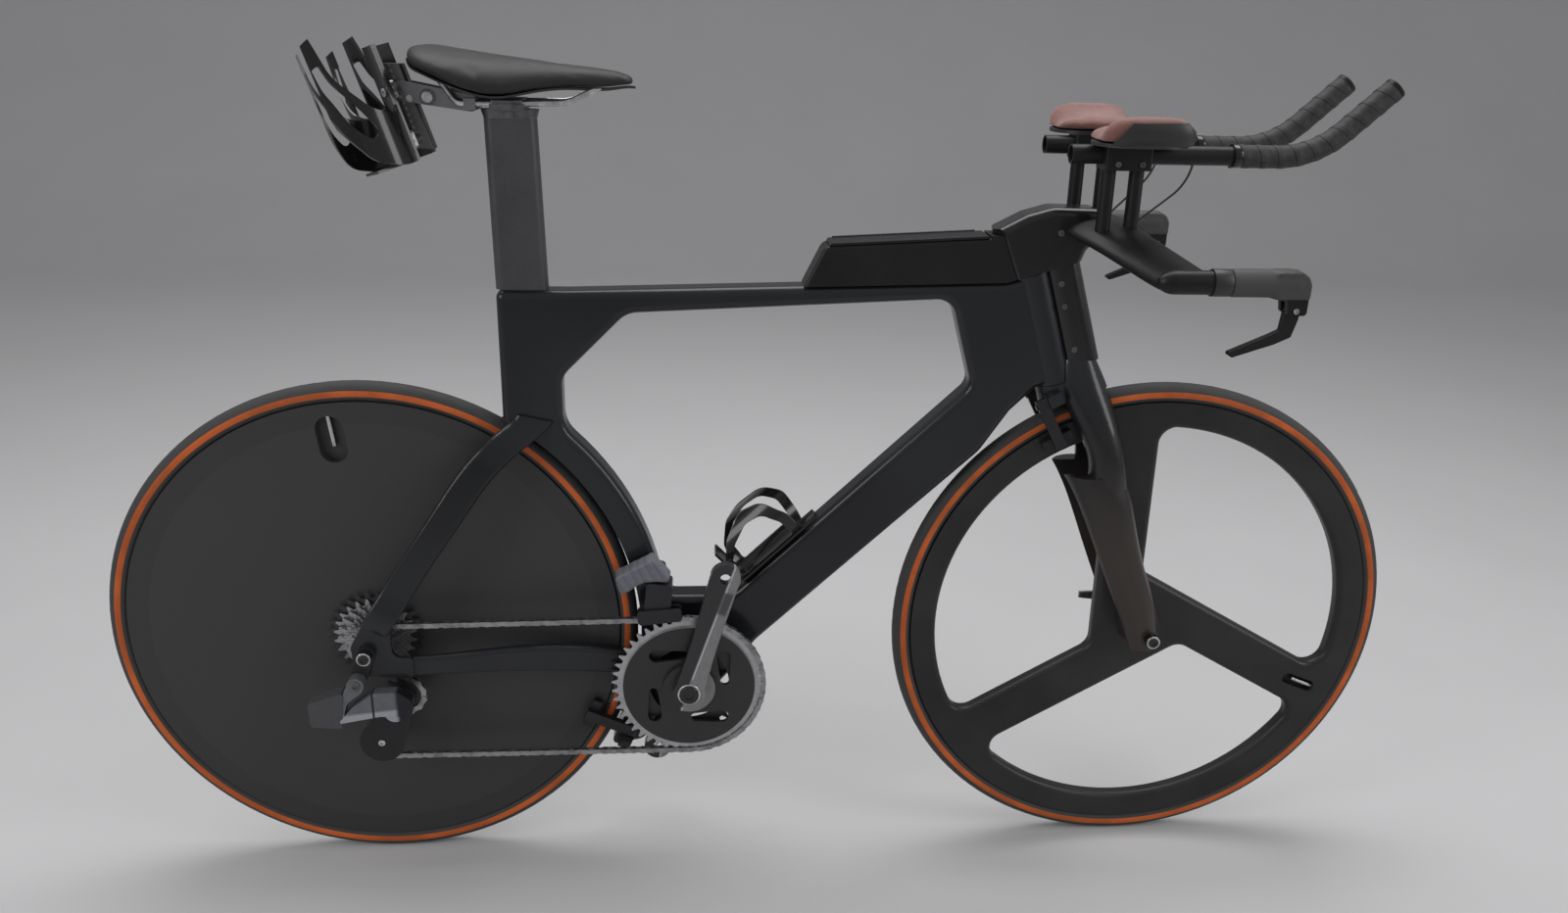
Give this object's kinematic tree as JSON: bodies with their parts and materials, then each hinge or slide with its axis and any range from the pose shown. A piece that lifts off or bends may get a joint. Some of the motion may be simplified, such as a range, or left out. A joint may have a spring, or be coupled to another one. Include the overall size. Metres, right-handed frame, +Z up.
{
  "type": "time trial bike",
  "caption": "Aero time trial bike with a rear disc wheel, a spoked front wheel, steering bars with forearm pads, brakes and a chain drive.",
  "frame": {"origin": "on the ground, midway between the two wheel contact points", "axes": "+X towards the front wheel, +Y towards the bike's left side, +Z up; the chain is on the -Y side"},
  "size_m": [1.679, 0.4424, 1.0632],
  "materials": {
    "frame_paint": "deep glossy charcoal clear coat over carbon",
    "post_carbon": "satin carbon grey",
    "satin_black": "satin black",
    "gloss_black": "glossy black",
    "disc_grey": "matte dark grey carbon disc",
    "spoke_black": "satin black carbon",
    "tyre_rubber": "dark grey tread with a burnt orange band on the sidewalls",
    "silver": "bright silver steel",
    "alloy_grey": "bead blasted grey alloy",
    "crank_grey": "satin dark grey with bright edges",
    "ring_black": "satin black face with a silver toothed rim",
    "bearing_steel": "ground steel",
    "black_plastic": "matte black",
    "grip_rubber": "soft dark grey rubber",
    "bar_tape": "black wound tape",
    "pad_foam": "dusty pink brown foam pad",
    "saddle_skin": "smooth black cover",
    "wrap_tape": "grey adhesive tape"
  },
  "bodies": {
    "frame": {"frame": "frame_paint", "seatpost": "post_carbon", "saddle_clamp": "alloy_grey", "saddle_rails": "silver", "saddle_shell": "black_plastic", "saddle_cover": "saddle_skin", "storage_box": "satin_black", "frame_bearings": "bearing_steel", "rear_cage_bracket": "alloy_grey", "rear_cage_right": "gloss_black", "rear_cage_left": "gloss_black", "down_tube_cage": "gloss_black", "derailleur_hanger": "alloy_grey", "rear_skewer": "silver", "derailleur_body": "silver", "derailleur_battery": "black_plastic", "front_derailleur": "crank_grey", "front_derailleur_wrap": "wrap_tape", "chain": "silver"},
    "storage_lid": {"storage_lid": "satin_black"},
    "rear_wheel": {"rear_disc": "disc_grey", "rear_tyre": "tyre_rubber", "rear_bearings": "bearing_steel", "rear_valve": "silver"},
    "cassette": {"cassette": "silver"},
    "crankset": {"crank_arm_right": "crank_grey", "crank_arm_left": "crank_grey", "large_chainring": "ring_black", "small_chainring": "ring_black"},
    "derailleur_cage": {"derailleur_cage": "crank_grey"},
    "upper_pulley": {"upper_pulley": "black_plastic"},
    "lower_pulley": {"lower_pulley": "black_plastic"},
    "rear_qr_lever": {"rear_qr_lever": "alloy_grey"},
    "rear_brake_right": {"rear_brake_arm_right": "crank_grey"},
    "rear_brake_left": {"rear_brake_arm_left": "crank_grey"},
    "steering": {"fork": "frame_paint", "steerer_column": "frame_paint", "stem": "satin_black", "base_bar": "satin_black", "bar_grips": "grip_rubber", "riser_posts": "satin_black", "extension_clamps": "satin_black", "pad_cups": "black_plastic", "arm_pad_right": "pad_foam", "arm_pad_left": "pad_foam", "extensions": "satin_black", "extension_tape": "bar_tape", "front_skewer": "silver", "shift_wires": "black_plastic"},
    "front_wheel": {"front_trispoke": "spoke_black", "front_tyre": "tyre_rubber", "front_bearings": "bearing_steel", "front_valve": "silver"},
    "front_qr_lever": {"front_qr_lever": "alloy_grey"},
    "brake_lever_right": {"brake_lever_right": "satin_black"},
    "brake_lever_left": {"brake_lever_left": "satin_black"},
    "front_brake_right": {"front_brake_arm_right": "crank_grey"},
    "front_brake_left": {"front_brake_arm_left": "crank_grey"},
    "shift_button_right": {"shift_button_right": "black_plastic"},
    "shift_button_left": {"shift_button_left": "black_plastic"}
  },
  "joints": [
    {"name": "steer", "type": "hinge", "parent": "frame", "child": "steering", "pos_m": [0.35589, 0, 0.674], "axis": [-0.2924, 0, 0.9563], "range_deg": [-35, 35]},
    {"name": "front_wheel_spin", "type": "hinge", "parent": "steering", "child": "front_wheel", "pos_m": [0.5045, 0, 0.335], "axis": [0, 1, 0], "continuous": true},
    {"name": "rear_wheel_spin", "type": "hinge", "parent": "frame", "child": "rear_wheel", "pos_m": [-0.5045, 0, 0.335], "axis": [0, 1, 0], "continuous": true},
    {"name": "crank_spin", "type": "hinge", "parent": "frame", "child": "crankset", "pos_m": [-0.1025, 0, 0.27], "axis": [0, 1, 0], "continuous": true},
    {"name": "cassette_spin", "type": "hinge", "parent": "frame", "child": "cassette", "pos_m": [-0.5045, 0, 0.335], "axis": [0, 1, 0], "continuous": true},
    {"name": "derailleur_cage_swing", "type": "hinge", "parent": "frame", "child": "derailleur_cage", "pos_m": [-0.4715, 0, 0.261], "axis": [0, 1, 0], "range_deg": [-12, 10], "stiffness_Nm_per_rad": 1.5, "deforming": ["chain"]},
    {"name": "upper_pulley_spin", "type": "hinge", "parent": "derailleur_cage", "child": "upper_pulley", "pos_m": [-0.4675, 0, 0.263], "axis": [0, 1, 0], "continuous": true},
    {"name": "lower_pulley_spin", "type": "hinge", "parent": "derailleur_cage", "child": "lower_pulley", "pos_m": [-0.5005, 0, 0.197], "axis": [0, 1, 0], "continuous": true},
    {"name": "storage_lid_hinge", "type": "hinge", "parent": "frame", "child": "storage_lid", "pos_m": [0.06019, 0.0217, 0.84248], "axis": [-0.9984, 0, -0.0558], "range_deg": [0, 100]},
    {"name": "rear_qr_hinge", "type": "hinge", "parent": "frame", "child": "rear_qr_lever", "pos_m": [-0.5045, 0.0833, 0.335], "axis": [0, 0, 1], "range_deg": [0, 170]},
    {"name": "front_qr_hinge", "type": "hinge", "parent": "steering", "child": "front_qr_lever", "pos_m": [0.5045, 0.0735, 0.335], "axis": [0, 0, -1], "range_deg": [0, 170]},
    {"name": "brake_lever_right_hinge", "type": "hinge", "parent": "steering", "child": "brake_lever_right", "pos_m": [0.54538, -0.207, 0.8128], "axis": [0, 1, 0], "range_deg": [0, 20], "stiffness_Nm_per_rad": 0.4},
    {"name": "rear_brake_right_hinge", "type": "hinge", "parent": "frame", "child": "rear_brake_right", "pos_m": [-0.1811, -0.027, 0.19101], "axis": [-0.4067, 0, -0.9135], "range_deg": [0, 1], "stiffness_Nm_per_rad": 0.5},
    {"name": "front_brake_right_hinge", "type": "hinge", "parent": "steering", "child": "front_brake_right", "pos_m": [0.33831, -0.027, 0.64756], "axis": [0.8829, 0, 0.4695], "range_deg": [0, 1], "stiffness_Nm_per_rad": 0.5},
    {"name": "shift_button_right_slide", "type": "slide", "parent": "steering", "child": "shift_button_right", "axis": [-0.7293, 0, -0.6842], "range_m": [0, 0.0015], "stiffness_N_per_m": 300},
    {"name": "brake_lever_left_hinge", "type": "hinge", "parent": "steering", "child": "brake_lever_left", "pos_m": [0.54538, 0.207, 0.8128], "axis": [0, 1, 0], "range_deg": [0, 20], "stiffness_Nm_per_rad": 0.4},
    {"name": "rear_brake_left_hinge", "type": "hinge", "parent": "frame", "child": "rear_brake_left", "pos_m": [-0.1811, 0.027, 0.19101], "axis": [0.4067, 0, 0.9135], "range_deg": [0, 1], "stiffness_Nm_per_rad": 0.5},
    {"name": "front_brake_left_hinge", "type": "hinge", "parent": "steering", "child": "front_brake_left", "pos_m": [0.33831, 0.027, 0.64756], "axis": [-0.8829, 0, -0.4695], "range_deg": [0, 1], "stiffness_Nm_per_rad": 0.5},
    {"name": "shift_button_left_slide", "type": "slide", "parent": "steering", "child": "shift_button_left", "axis": [-0.7293, 0, -0.6842], "range_m": [0, 0.0015], "stiffness_N_per_m": 300}
  ],
  "couplings": [
    {"joint": "cassette_spin", "follows": "crank_spin", "ratio": 3.6923},
    {"joint": "upper_pulley_spin", "follows": "crank_spin", "ratio": -4},
    {"joint": "lower_pulley_spin", "follows": "crank_spin", "ratio": 4},
    {"joint": "rear_brake_right_hinge", "follows": "brake_lever_right_hinge", "ratio": 0.05},
    {"joint": "front_brake_right_hinge", "follows": "brake_lever_left_hinge", "ratio": 0.05},
    {"joint": "rear_brake_left_hinge", "follows": "brake_lever_right_hinge", "ratio": 0.05},
    {"joint": "front_brake_left_hinge", "follows": "brake_lever_left_hinge", "ratio": 0.05}
  ]
}
